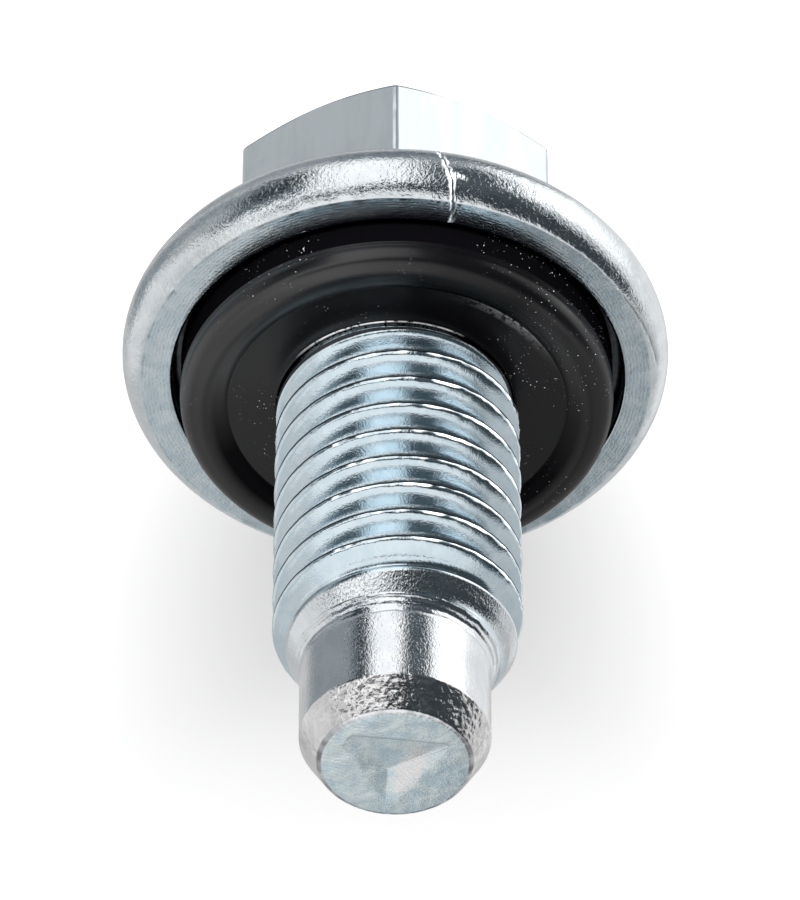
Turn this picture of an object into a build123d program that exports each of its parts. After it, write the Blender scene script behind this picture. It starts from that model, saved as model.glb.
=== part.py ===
"""Oil drain plug: a cold-forged flanged hex plug with a pilot point, and its moulded rubber gasket.

Millimetres. The plug stands on its hex head: z = 0 is the outer face of the head, +Z runs to the tip,
and one corner of the hex points to -Y.
"""

import os
from math import cos, pi, radians, sin, tan

from build123d import *

os.makedirs("parts", exist_ok=True)

# hex head
hex_across_flats = 15.0
hex_height = 8.2
hex_corner_round = 0.4
hex_foot_round = 0.6
head_face_margin = 0.05  # from the flats in to the edge of the head's face
head_chamfer_angle = 30.0  # against the head's flat face, as on most bolt heads

# flange: a thick rolled rim, its back a shallow cone that rises to the hex
flange_diameter = 26.6
rim_round = 2.0
rim_wrap_angle = 55.6  # of the rim's arc, from its widest point up to the fold line
rim_face_width = 1.48  # from the fold line in to the recess
flange_back_angle = 10.0
recess_depth = 1.5
recess_mouth_round = 0.15

# threaded shank, M12 x 1.75, right-hand
thread_major_diameter = 11.86
thread_pitch = 1.75
thread_depth_share = 0.6  # of the pitch
thread_crest_share = 0.137  # of the pitch
thread_angle = 60.0
thread_length = 13.1
thread_entry_angle = 30.0  # of the cone from the neck up to the first crest
run_out_margin = 0.33  # the cone where the groove fades into the neck ends this far inside its root
neck_step = 0.48  # from the crests down to the neck, which is the blank that the thread was rolled on
neck_length = 4.3

# lead-in, pilot and point
lead_in_angle = 31.0
pilot_root_margin = 0.38  # from the root of the thread in to the pilot
pilot_length = 4.3
pilot_root_round = 0.8
point_taper_width = 0.9  # from the pilot in to the end face
point_height = 1.57
point_edge_round = 0.2
crop_mark_depth = 0.2  # three shallow facets left where the bar was cropped
crop_mark_margin = 0.3  # from the edge of the end face in to the corners of the facets
crop_mark_floor = 0.2

# gasket
gasket_wall_clearance = 0.45  # to the wall of the recess
gasket_neck_clearance = 0.2  # from the bore to the neck
gasket_web_height = 3.25
gasket_foot_chamfer = 0.25
gasket_bore_chamfer = 0.15
bead_rise = 0.57  # crown of the bead above the web
bead_round = 1.0
bead_fall_width = 1.31  # from the crown in to the web

# hex and flange
corner_radius = hex_across_flats / 2 / cos(pi / 6)
head_face_radius = hex_across_flats / 2 - head_face_margin
corner_drop = (corner_radius - head_face_radius) * tan(radians(head_chamfer_angle))
back_slope = radians(flange_back_angle)
corner_rise = (corner_radius - hex_across_flats / 2) * tan(back_slope)
rim_centre_radius = flange_diameter / 2 - rim_round
back_edge_radius = rim_centre_radius + rim_round * sin(back_slope)
back_edge_z = hex_height + (back_edge_radius - hex_across_flats / 2) * tan(back_slope)
rim_centre_z = back_edge_z + rim_round * cos(back_slope)
rim_wrap = radians(rim_wrap_angle)
rim_face_z = rim_centre_z + rim_round * sin(rim_wrap)
rim_face_radius = rim_centre_radius + rim_round * cos(rim_wrap)
recess_radius = rim_face_radius - rim_face_width
recess_floor_z = rim_face_z - recess_depth

# shank
thread_radius = thread_major_diameter / 2
thread_depth = thread_pitch * thread_depth_share
thread_crest_width = thread_pitch * thread_crest_share
groove_floor_radius = thread_radius - thread_depth
neck_radius = thread_radius - neck_step
neck_end_z = recess_floor_z + neck_length
run_out_height = thread_depth - neck_step + run_out_margin
crest_start_z = neck_end_z + neck_step / tan(radians(thread_entry_angle))
crest_end_z = crest_start_z + thread_length
pilot_radius = groove_floor_radius - pilot_root_margin
pilot_start_z = crest_end_z + (thread_radius - pilot_radius) / tan(radians(lead_in_angle))
pilot_end_z = pilot_start_z + pilot_length
point_radius = pilot_radius - point_taper_width
tip_z = pilot_end_z + point_height

# thread groove: its helix starts on +X below the end of the neck and leaves past the lead-in
flank_slope = tan(radians(thread_angle / 2))
groove_overrun = 0.3  # how far the groove's section reaches beyond the crests
groove_reach = thread_depth + groove_overrun
groove_mouth_half = (thread_pitch - thread_crest_width) / 2
groove_floor_half = groove_mouth_half - thread_depth * flank_slope
groove_outer_half = groove_mouth_half + groove_overrun * flank_slope
groove_start_z = neck_end_z - groove_outer_half - thread_crest_width
groove_end_z = pilot_start_z + groove_outer_half + thread_crest_width

with BuildPart() as shank:
    with BuildSketch(Plane.XY.offset(neck_end_z)):
        Circle(thread_radius)
    extrude(amount=tip_z - neck_end_z)

    with BuildLine(Plane.XY.offset(groove_start_z)) as groove_line:
        Helix(thread_pitch, groove_end_z - groove_start_z, groove_floor_radius)
    groove_origin = (groove_floor_radius, 0, groove_start_z)
    with BuildSketch(Plane(origin=groove_origin, x_dir=(1, 0, 0), z_dir=(0, -1, 0))) as groove_section:
        Polygon(
            (0, -groove_floor_half),
            (groove_reach, -groove_outer_half),
            (groove_reach, groove_outer_half),
            (0, groove_floor_half),
            align=None,
        )
    sweep(sections=groove_section.sketch, path=groove_line.line, is_frenet=True, mode=Mode.SUBTRACT)

    # the threaded bar is turned to its entry cone, lead-in, pilot and point
    clear_radius = thread_radius + groove_overrun
    entry_clear_z = crest_start_z + groove_overrun / tan(radians(thread_entry_angle))
    lead_in_clear_z = crest_end_z - groove_overrun / tan(radians(lead_in_angle))
    with BuildSketch(Plane.XZ):
        with BuildLine():
            FilletPolyline(
                (0, neck_end_z),
                (neck_radius, neck_end_z),
                (clear_radius, entry_clear_z),
                (clear_radius, lead_in_clear_z),
                (pilot_radius, pilot_start_z),
                (pilot_radius, pilot_end_z),
                (point_radius, tip_z),
                (0, tip_z),
                radius=(0, 0, 0, 0, pilot_root_round, point_edge_round, point_edge_round, 0),
                close=True,
            )
        make_face()
    revolve(axis=Axis.Z, mode=Mode.INTERSECT)

    # crop mark
    with BuildSketch(Plane.XY.offset(tip_z)):
        RegularPolygon(point_radius - crop_mark_margin, 3, rotation=90)
    with BuildSketch(Plane.XY.offset(tip_z - crop_mark_depth)):
        RegularPolygon(crop_mark_floor, 3, rotation=90)
    loft(mode=Mode.SUBTRACT)

with BuildPart() as plug_body:
    with BuildSketch() as hexagon:
        RegularPolygon(hex_across_flats / 2, 6, major_radius=False, rotation=30)
        fillet(hexagon.vertices(), radius=hex_corner_round)
    extrude(amount=recess_floor_z)

    # the chamfer that takes the corners off the head
    with BuildSketch(Plane.XZ):
        with BuildLine():
            Polyline(
                (0, 0),
                (head_face_radius, 0),
                (corner_radius, corner_drop),
                (corner_radius, recess_floor_z),
                (0, recess_floor_z),
                close=True,
            )
        make_face()
    revolve(axis=Axis.Z, mode=Mode.INTERSECT)

    # flange, recess and neck, with the cone where the thread groove fades out
    with BuildSketch(Plane.XZ):
        with BuildLine():
            Polyline((0, hex_height), (hex_across_flats / 2, hex_height), (back_edge_radius, back_edge_z))
            ThreePointArc(
                (back_edge_radius, back_edge_z),
                (flange_diameter / 2, rim_centre_z),
                (rim_face_radius, rim_face_z),
            )
            Polyline(
                (rim_face_radius, rim_face_z),
                (recess_radius, rim_face_z),
                (recess_radius, recess_floor_z),
                (neck_radius, recess_floor_z),
                (neck_radius, neck_end_z),
                (neck_radius - run_out_height, neck_end_z + run_out_height),
                (0, neck_end_z + run_out_height),
                (0, hex_height),
            )
        make_face()
    revolve(axis=Axis.Z)

    hex_foot = plug_body.edges().filter_by_position(Axis.Z, hex_height, hex_height + corner_rise)
    fillet(hex_foot, radius=hex_foot_round)
    rim_circles = plug_body.edges().filter_by(GeomType.CIRCLE).filter_by_position(
        Axis.Z, rim_face_z, rim_face_z
    )
    fillet(rim_circles.sort_by(SortBy.RADIUS)[0], radius=recess_mouth_round)

    add(shank.part)

plug_body.part.label = "plug_body"
export_step(plug_body.part, "parts/plug_body.step")

# moulded gasket: a bead that seals round a flat web that holds it on the neck
gasket_outer_radius = recess_radius - gasket_wall_clearance
gasket_bore_radius = neck_radius + gasket_neck_clearance
web_z = recess_floor_z + gasket_web_height
crown_radius = gasket_outer_radius - bead_round
crown_z = web_z + bead_rise
web_edge_radius = crown_radius - bead_fall_width

with BuildPart() as gasket:
    with BuildSketch(Plane.XZ):
        with BuildLine():
            Polyline(
                (gasket_bore_radius, recess_floor_z),
                (gasket_bore_radius, web_z - gasket_bore_chamfer),
                (gasket_bore_radius + gasket_bore_chamfer, web_z),
                (web_edge_radius, web_z),
            )
            TangentArc((crown_radius, crown_z), (web_edge_radius, web_z), tangent=(-1, 0))
            JernArc((crown_radius, crown_z), (1, 0), bead_round, -90)
            Polyline(
                (gasket_outer_radius, crown_z - bead_round),
                (gasket_outer_radius, recess_floor_z + gasket_foot_chamfer),
                (gasket_outer_radius - gasket_foot_chamfer, recess_floor_z),
                (gasket_bore_radius, recess_floor_z),
            )
        make_face()
    revolve(axis=Axis.Z)

gasket.part.label = "gasket"
export_step(gasket.part, "parts/gasket.step")
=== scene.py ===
# Oil drain plug in a close studio shot: a zinc-plated forging with a moulded rubber gasket.
# It stands on its hex head, +Z runs to the tip, and one corner of the hex points to -Y.
# Shapes are worked out in millimetres and go into the meshes in metres.

import bmesh
import bpy
import numpy as np
from mathutils import Matrix, Vector


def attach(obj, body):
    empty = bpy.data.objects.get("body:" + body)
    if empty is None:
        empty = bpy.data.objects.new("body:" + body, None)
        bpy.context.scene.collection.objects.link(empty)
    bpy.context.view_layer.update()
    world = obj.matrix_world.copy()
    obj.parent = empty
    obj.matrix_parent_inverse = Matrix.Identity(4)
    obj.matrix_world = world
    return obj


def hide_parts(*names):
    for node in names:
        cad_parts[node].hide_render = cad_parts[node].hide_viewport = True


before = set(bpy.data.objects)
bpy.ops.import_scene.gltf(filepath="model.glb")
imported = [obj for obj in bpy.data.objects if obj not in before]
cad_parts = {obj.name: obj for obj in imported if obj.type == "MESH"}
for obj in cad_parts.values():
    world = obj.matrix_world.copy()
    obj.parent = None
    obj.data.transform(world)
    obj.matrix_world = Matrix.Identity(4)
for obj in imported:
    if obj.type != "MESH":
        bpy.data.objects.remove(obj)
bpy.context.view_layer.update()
scene = bpy.context.scene
millimetre = 0.001
turn = 2 * np.pi
mergeGap = 0.0004  # points closer than this, in millimetres, become one


def noiseAt(place, span, grainSize, seed):
    # sum over k of cos(k t + phase) * exp(-(k / waves)^2), spread of one, closed over the span
    count = 65536
    waves = span / grainSize / 2
    phases = np.random.default_rng(seed).random(count // 2 - 1) * turn
    k = np.arange(1, count // 2)
    spectrum = np.exp(1j * phases - (k / waves) ** 2)
    values = np.fft.irfft(np.concatenate(([0], spectrum, [0])), count)
    values = values / values.std()
    return np.interp(place % span, np.linspace(0, span, count + 1), np.append(values, values[0]))


def straightRows(start, end, shares):
    # point = start + share * (end - start), with start and end each (radius, height)
    share = np.asarray(shares, dtype=float)[:, None]
    radius = start[0] + share * (end[0] - start[0])
    height = start[1] + share * (end[1] - start[1])
    return radius, height


def arcRows(centre, reach, degrees):
    # point = centre + reach * (cos a, sin a)
    a = np.radians(np.asarray(degrees, dtype=float))[:, None]
    return centre[0] + reach * np.cos(a), centre[1] + reach * np.sin(a)


def gaussian(gap, width):
    return np.exp(-((gap / width) ** 2))


def revolvedMesh(name, grid, partner=None):
    # x = r cos a, y = r sin a, z = h; each row's last column meets the first column of its partner row
    radius, angle = grid["radius"], grid["angle"]
    index = np.arange(radius.size).reshape(radius.shape)
    first = index[:, 0] if partner is None else index[partner, 0]
    index = np.column_stack((index, first))
    quads = np.stack((index[:-1, :-1], index[:-1, 1:], index[1:, 1:], index[1:, :-1]), axis=-1)
    points = np.stack((radius * np.cos(angle), radius * np.sin(angle), grid["height"]), axis=-1)
    mesh = bpy.data.meshes.new(name)
    mesh.from_pydata(points.reshape(-1, 3) * millimetre, [], quads.reshape(-1, 4))
    mesh.polygons.foreach_set("material_index", grid["zone"][:-1].ravel())
    for key in ("seam", "burr"):
        mesh.attributes.new(key, "FLOAT", "POINT").data.foreach_set("value", grid[key].ravel())
    return mesh


def gridFrom(parts, angle):
    # each part is (zone, radius, height, seam, burr), and burr may be left out; on the forging seam marks
    # painted shade in folds, cracks and creases and darkens the end's edge, and burr marks painted
    # highlights on raw edges; on the gasket seam marks dust and a painted highlight along the bore's edge,
    # and burr marks painted shade where the sheen is taken away
    parts = [part if len(part) == 5 else (*part, 0.0) for part in parts]
    shapes = [np.broadcast_shapes(part[1].shape, angle[None, :].shape) for part in parts]
    grid = {}
    for column, key in enumerate(("zone", "radius", "height", "seam", "burr")):
        grid[key] = np.vstack([np.broadcast_to(part[column], shape) for part, shape in zip(parts, shapes)])
    grid["angle"] = np.broadcast_to(angle, grid["radius"].shape)
    return grid


def finishedPiece(name, mesh, materials, node):
    # rows that meet in one point or ring are merged, which closes the poles, and faces are turned outward
    shell = bmesh.new()
    shell.from_mesh(mesh)
    bmesh.ops.remove_doubles(shell, verts=shell.verts, dist=mergeGap * millimetre)
    bmesh.ops.recalc_face_normals(shell, faces=shell.faces)
    for face in shell.faces:
        face.smooth = True
    shell.to_mesh(mesh)
    shell.free()
    piece = bpy.data.objects.new(name, mesh)
    scene.collection.objects.link(piece)
    for material in materials:
        mesh.materials.append(material)
    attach(piece, "root")
    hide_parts(node)
    print("made", name, "faces", len(mesh.polygons), "corners", len(mesh.vertices))


# Shader groups

def newGroup(name, inputs, outputs):
    tree = bpy.data.node_groups.new(name, "ShaderNodeTree")
    for label, kind, value in inputs:
        socket = tree.interface.new_socket(name=label, in_out="INPUT", socket_type=kind)
        socket.default_value = value
    for label, kind in outputs:
        tree.interface.new_socket(name=label, in_out="OUTPUT", socket_type=kind)
    return tree, tree.nodes.new("NodeGroupInput"), tree.nodes.new("NodeGroupOutput")


def placeGroup(tree, group, values):
    node = tree.nodes.new("ShaderNodeGroup")
    node.node_tree = group
    for key, value in values.items():
        node.inputs[key].default_value = value
    return node


def feed(tree, socket, value):
    # a number or a tuple is set on the socket, and anything else is another node's socket
    if isinstance(value, (int, float, tuple)):
        socket.default_value = value
    else:
        tree.links.new(value, socket)


def mathNode(tree, operation, *values, clamp=False):
    node = tree.nodes.new("ShaderNodeMath")
    node.operation = operation
    node.use_clamp = clamp
    for socket, value in zip(node.inputs, values):
        feed(tree, socket, value)
    return node.outputs[0]


def vectorNode(tree, operation, a, b=(0.0, 0.0, 0.0)):
    node = tree.nodes.new("ShaderNodeVectorMath")
    node.operation = operation
    feed(tree, node.inputs[0], a)
    feed(tree, node.inputs[1], b)
    return node.outputs["Value" if operation == "LENGTH" else "Vector"]


def noiseNode(tree, vector, size, detail, distortion=0.0):
    # size is the noise's cell in millimetres
    node = tree.nodes.new("ShaderNodeTexNoise")
    node.inputs["Detail"].default_value = detail
    node.inputs["Roughness"].default_value = 0.55
    node.inputs["Distortion"].default_value = distortion
    tree.links.new(vector, node.inputs["Vector"])
    feed(tree, node.inputs["Scale"], mathNode(tree, "DIVIDE", 1000.0, size))
    return node.outputs["Fac"]


def smoothStep(tree, value, low, high):
    node = tree.nodes.new("ShaderNodeMapRange")
    node.interpolation_type = "SMOOTHSTEP"
    feed(tree, node.inputs["Value"], value)
    feed(tree, node.inputs["From Min"], low)
    feed(tree, node.inputs["From Max"], high)
    return node.outputs["Result"]


def mixNode(tree, share, a, b):
    node = tree.nodes.new("ShaderNodeMix")
    node.data_type = "RGBA"
    for socket, value in ((node.inputs[0], share), (node.inputs[6], a), (node.inputs[7], b)):
        feed(tree, socket, (*value, 1.0) if isinstance(value, tuple) else value)
    return node.outputs[2]


def buildPlatingGroup():
    # height = waves + hammered dimples + fine grain, each in millimetres; mottle = slow change of tone
    inputs = [
        ("Stretch", "NodeSocketVector", (1.0, 1.0, 1.0)),
        ("Wave Size", "NodeSocketFloat", 1.8),
        ("Wave Height", "NodeSocketFloat", 0.03),
        ("Dimple Size", "NodeSocketFloat", 0.20),
        ("Dimple Height", "NodeSocketFloat", 0.02),
        ("Grain Size", "NodeSocketFloat", 0.07),
        ("Grain Height", "NodeSocketFloat", 0.006),
    ]
    outputs = [("Height", "NodeSocketFloat"), ("Mottle", "NodeSocketFloat")]
    tree, given, result = newGroup("platingGrain", inputs, outputs)
    place = tree.nodes.new("ShaderNodeTexCoord").outputs["Object"]
    stretched = vectorNode(tree, "MULTIPLY", place, given.outputs["Stretch"])
    wave = noiseNode(tree, place, given.outputs["Wave Size"], 1.0)
    dimple = noiseNode(tree, stretched, given.outputs["Dimple Size"], 2.0, 0.8)
    grain = noiseNode(tree, stretched, given.outputs["Grain Size"], 1.0)
    total = mathNode(tree, "MULTIPLY", wave, given.outputs["Wave Height"])
    total = mathNode(tree, "MULTIPLY_ADD", dimple, given.outputs["Dimple Height"], total)
    total = mathNode(tree, "MULTIPLY_ADD", grain, given.outputs["Grain Height"], total)
    tree.links.new(total, result.inputs["Height"])
    tree.links.new(noiseNode(tree, stretched, 1.1, 4.0, 0.5), result.inputs["Mottle"])
    return tree


def buildRingGroup():
    # height = depth * sin(turn * place / spacing + wobble); place = distance from the centre line, or z
    inputs = [
        ("Centre", "NodeSocketVector", (0.0, 0.0, 0.0)),
        ("Spacing", "NodeSocketFloat", 0.15),
        ("Depth", "NodeSocketFloat", 0.003),
        ("Along Axis", "NodeSocketFloat", 0.0),
        ("Wobble", "NodeSocketFloat", 2.0),
    ]
    tree, given, result = newGroup("turningRings", inputs, [("Height", "NodeSocketFloat")])
    place = tree.nodes.new("ShaderNodeTexCoord").outputs["Object"]
    offset = vectorNode(tree, "SUBTRACT", place, given.outputs["Centre"])
    flat = vectorNode(tree, "MULTIPLY", offset, (1.0, 1.0, 0.0))
    outward = vectorNode(tree, "LENGTH", flat)
    split = tree.nodes.new("ShaderNodeSeparateXYZ")
    tree.links.new(place, split.inputs[0])
    rise = mathNode(tree, "SUBTRACT", split.outputs["Z"], outward)
    measure = mathNode(tree, "MULTIPLY_ADD", rise, given.outputs["Along Axis"], outward)
    perTurn = mathNode(tree, "MULTIPLY", given.outputs["Spacing"], millimetre / turn)
    phase = mathNode(tree, "DIVIDE", measure, perTurn)
    wobble = mathNode(tree, "MULTIPLY", noiseNode(tree, place, 0.8, 2.0), given.outputs["Wobble"])
    wave = mathNode(tree, "SINE", mathNode(tree, "ADD", phase, wobble))
    strength = mathNode(tree, "MULTIPLY", noiseNode(tree, place, 0.5, 2.0), given.outputs["Depth"])
    tree.links.new(mathNode(tree, "MULTIPLY", wave, strength), result.inputs["Height"])
    return tree


def buildPatchGroup():
    # mask = 1 inside an oval, given by centre, half lengths and turn about z, with a ragged edge
    inputs = [
        ("Centre", "NodeSocketVector", (0.0, 0.0, 0.0)),
        ("Half Length", "NodeSocketVector", (0.001, 0.001, 1.0)),
        ("Turn", "NodeSocketFloat", 0.0),
        ("Ragged", "NodeSocketFloat", 1.0),
    ]
    tree, given, result = newGroup("ovalPatch", inputs, [("Mask", "NodeSocketFloat")])
    place = tree.nodes.new("ShaderNodeTexCoord").outputs["Object"]
    rotate = tree.nodes.new("ShaderNodeVectorRotate")
    rotate.rotation_type = "Z_AXIS"
    tree.links.new(vectorNode(tree, "SUBTRACT", place, given.outputs["Centre"]), rotate.inputs["Vector"])
    tree.links.new(given.outputs["Turn"], rotate.inputs["Angle"])
    scaled = vectorNode(tree, "DIVIDE", rotate.outputs[0], given.outputs["Half Length"])
    away = vectorNode(tree, "LENGTH", scaled)
    fray = mathNode(tree, "SUBTRACT", noiseNode(tree, place, 0.25, 3.0), 0.5)
    edge = mathNode(tree, "MULTIPLY_ADD", fray, given.outputs["Ragged"], away)
    outside = smoothStep(tree, edge, 0.8, 1.15)
    tree.links.new(mathNode(tree, "SUBTRACT", 1.0, outside), result.inputs["Mask"])
    return tree


platingGroup = buildPlatingGroup()
ringGroup = buildRingGroup()
patchGroup = buildPatchGroup()


def startMaterial(name):
    material = bpy.data.materials.new(name)
    material.use_nodes = True
    tree = material.node_tree
    return material, tree, tree.nodes["Principled BSDF"]


def readMask(tree, name):
    # a mask stored on the mesh, held between 0 and 1
    node = tree.nodes.new("ShaderNodeAttribute")
    node.attribute_name = name
    return mathNode(tree, "ADD", node.outputs["Fac"], 0.0, clamp=True)


def addBump(tree, shader, height):
    # height is in millimetres
    bump = tree.nodes.new("ShaderNodeBump")
    bump.inputs["Strength"].default_value = 1.0
    bump.inputs["Distance"].default_value = millimetre
    tree.links.new(height, bump.inputs["Height"])
    tree.links.new(bump.outputs["Normal"], shader.inputs["Normal"])


wear = {
    # darkMarkTone is painted shade in seams, folds, cracks and the crop mark's crease, and also darkens the
    # end's rounded edge
    "darkMarkTone": (0.03, 0.035, 0.04),
    # burrHighlightTone is a painted highlight on burrs and on the lap's lips
    "burrHighlightTone": (0.98, 0.99, 1.0),
    "rough": 0.3,  # added to the roughness in a seam and on a burr
    "mottleEdge": (0.35, 0.65),
}


def buildPlating(name, look):
    # one zinc finish; look holds what differs between the zones of the forging
    material, tree, shader = startMaterial(name)
    grain = placeGroup(tree, platingGroup, look["grain"])
    mottle = grain.outputs["Mottle"]
    height = grain.outputs["Height"]
    if "rings" in look:
        rings = placeGroup(tree, ringGroup, look["rings"])
        height = mathNode(tree, "ADD", height, rings.outputs["Height"])
    tone = mixNode(tree, smoothStep(tree, mottle, *wear["mottleEdge"]), look["toneLow"], look["toneHigh"])
    if "patch" in look:
        patch = placeGroup(tree, patchGroup, look["patch"])
        tone = mixNode(tree, patch.outputs["Mask"], tone, look["patchTone"])
    seam, burr = readMask(tree, "seam"), readMask(tree, "burr")
    # painted shade: the seam mask darkens folds, cracks and creases, and also the end's rounded edge
    tone = mixNode(tree, seam, tone, wear["darkMarkTone"])
    # painted highlight: the burr mask turns burrs and lips near white and takes their metal away
    tree.links.new(mixNode(tree, burr, tone, wear["burrHighlightTone"]), shader.inputs["Base Color"])
    rough = mathNode(tree, "MULTIPLY_ADD", mottle, look["roughSpread"], look["roughBase"])
    rough = mathNode(tree, "MULTIPLY_ADD", mathNode(tree, "ADD", seam, burr), wear["rough"], rough)
    tree.links.new(rough, shader.inputs["Roughness"])
    tree.links.new(mathNode(tree, "SUBTRACT", 1.0, burr), shader.inputs["Metallic"])
    addBump(tree, shader, height)
    return material


# The keys with capitals are the groups' sockets. Heights, sizes, spacings and depths are in millimetres;
# centres and half lengths are in metres, as Object coordinates are.
looks = {
    "hexZinc": {
        "grain": {
            "Stretch": (1, 1, 0.12),
            "Wave Height": 0.03,
            "Dimple Height": 0.006,
            "Grain Height": 0.002,
        },
        "toneLow": (0.70, 0.76, 0.80),
        "toneHigh": (0.78, 0.84, 0.88),
        "roughBase": 0.12,
        "roughSpread": 0.10,
    },
    "forgedZinc": {
        "grain": {"Wave Size": 2.0, "Wave Height": 0.05, "Dimple Size": 0.20, "Dimple Height": 0.027},
        "toneLow": (0.74, 0.79, 0.82),
        "toneHigh": (0.84, 0.88, 0.90),
        "roughBase": 0.05,
        "roughSpread": 0.10,
    },
    "facedZinc": {
        "grain": {"Wave Height": 0.02, "Dimple Size": 0.3, "Dimple Height": 0.010, "Grain Height": 0.004},
        "rings": {"Spacing": 0.17, "Depth": 0.0012, "Wobble": 9.0},
        "toneLow": (0.60, 0.70, 0.75),
        "toneHigh": (0.72, 0.80, 0.84),
        "roughBase": 0.12,
        "roughSpread": 0.10,
    },
    # painted shade: the recess wall, its floor and the hidden neck get a dark zinc tone for the shade they
    # lie in
    "recessShadeZinc": {
        "grain": {"Dimple Height": 0.01},
        "toneLow": (0.10, 0.11, 0.12),
        "toneHigh": (0.16, 0.17, 0.18),
        "roughBase": 0.30,
        "roughSpread": 0.10,
    },
    "threadZinc": {
        "grain": {
            "Stretch": (1, 1, 0.6),
            "Wave Height": 0.002,
            "Dimple Size": 0.14,
            "Dimple Height": 0.006,
        },
        "toneLow": (0.67, 0.79, 0.86),
        "toneHigh": (0.75, 0.86, 0.92),
        "roughBase": 0.10,
        "roughSpread": 0.04,
    },
    "leadZinc": {
        "grain": {
            "Stretch": (1, 1, 0.3),
            "Wave Height": 0.015,
            "Dimple Size": 0.11,
            "Dimple Height": 0.018,
        },
        "toneLow": (0.76, 0.80, 0.83),
        "toneHigh": (0.86, 0.89, 0.91),
        "roughBase": 0.03,
        "roughSpread": 0.06,
    },
    "rootZinc": {
        "grain": {"Dimple Size": 0.15, "Dimple Height": 0.012, "Wave Height": 0.01},
        "rings": {"Spacing": 0.30, "Depth": 0.022, "Along Axis": 1.0, "Wobble": 4.0},
        "toneLow": (0.76, 0.80, 0.83),
        "toneHigh": (0.86, 0.89, 0.91),
        "roughBase": 0.03,
        "roughSpread": 0.06,
    },
    "pilotZinc": {
        "grain": {
            "Stretch": (1, 1, 0.7),
            "Wave Height": 0.01,
            "Dimple Size": 0.12,
            "Dimple Height": 0.013,
        },
        "toneLow": (0.78, 0.81, 0.84),
        "toneHigh": (0.88, 0.90, 0.92),
        "roughBase": 0.03,
        "roughSpread": 0.05,
    },
    "bevelZinc": {
        "grain": {"Wave Size": 0.40, "Wave Height": 0.06, "Dimple Size": 0.14, "Dimple Height": 0.011},
        "toneLow": (0.72, 0.71, 0.71),
        "toneHigh": (0.88, 0.87, 0.87),
        "roughBase": 0.03,
        "roughSpread": 0.06,
    },
    "endZinc": {
        "grain": {"Wave Size": 0.9, "Wave Height": 0.03, "Dimple Size": 0.16, "Dimple Height": 0.006},
        "rings": {"Centre": (0.005, 0.006, 0.0), "Spacing": 0.23, "Depth": 0.0022, "Wobble": 14.0},
        "patch": {
            "Centre": (-0.0007, 0.00035, 0.0),
            "Half Length": (0.0018, 0.0006, 1.0),
            "Turn": -1.25,
            "Ragged": 1.8,
        },
        "patchTone": (1.0, 1.0, 1.0),
        "toneLow": (0.73, 0.87, 0.94),
        "toneHigh": (0.90, 0.99, 1.0),
        "roughBase": 0.20,
        "roughSpread": 0.08,
    },
}
zones = {name: number for number, name in enumerate(looks)}
platings = [buildPlating(name, look) for name, look in looks.items()]


rubberLook = {
    "tone": (0.0010, 0.0009, 0.0012),
    "dustAndGlintTone": (0.9, 0.9, 0.9),
    "speckSize": 0.06,  # sizes and heights are in millimetres
    "speckEdge": (0.83, 0.87),
    "spreadSize": 5.0,  # of the patches where the specks lie
    "spreadEdge": (0.45, 0.6),
    "grainSize": 0.2,  # of the dust and the painted highlight that lie along an edge
    "grainEdge": (0.36, 0.50),
    "skinSize": 0.12,
    "skinHeight": 0.002,
    "swellSize": 1.6,
    "swellHeight": 0.04,
    "roughness": 0.35,
    "sheenRoughness": 0.27,
    "sheenIor": 1.75,
}


def buildRubber(look):
    # black rubber with a fine skin, a few specks of dust, a painted highlight along the bore's edge and a
    # soft sheen
    material, tree, shader = startMaterial("gasketRubber")
    place = tree.nodes.new("ShaderNodeTexCoord").outputs["Object"]
    spread = smoothStep(tree, noiseNode(tree, place, look["spreadSize"], 1.0), *look["spreadEdge"])
    specks = smoothStep(tree, noiseNode(tree, place, look["speckSize"], 0.0), *look["speckEdge"])
    specks = mathNode(tree, "MULTIPLY", specks, spread)
    # the seam mask lays dust, and along the bore's edge a painted highlight
    grains = smoothStep(tree, noiseNode(tree, place, look["grainSize"], 3.0), *look["grainEdge"])
    grains = mathNode(tree, "MULTIPLY", readMask(tree, "seam"), grains)
    dustAndGlint = mathNode(tree, "MAXIMUM", specks, grains)
    tree.links.new(mixNode(tree, dustAndGlint, look["tone"], look["dustAndGlintTone"]), shader.inputs["Base Color"])
    skin = mathNode(tree, "MULTIPLY", noiseNode(tree, place, look["skinSize"], 3.0), look["skinHeight"])
    swell = noiseNode(tree, place, look["swellSize"], 1.0)
    addBump(tree, shader, mathNode(tree, "MULTIPLY_ADD", swell, look["swellHeight"], skin))
    shader.inputs["Roughness"].default_value = look["roughness"]
    shader.inputs["Specular IOR Level"].default_value = 0.0
    # the sheen is the coat alone; as painted shade it is taken away on the wall of the gasket, on the side
    # away from the light and down the far inner fall of the bead
    sheen = mathNode(tree, "SUBTRACT", 1.0, readMask(tree, "burr"))
    tree.links.new(sheen, shader.inputs["Coat Weight"])
    shader.inputs["Coat Roughness"].default_value = look["sheenRoughness"]
    shader.inputs["Coat IOR"].default_value = look["sheenIor"]
    return material


rubber = buildRubber(rubberLook)
print("materials ready", len(platings) + 1)


# The forging

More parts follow.
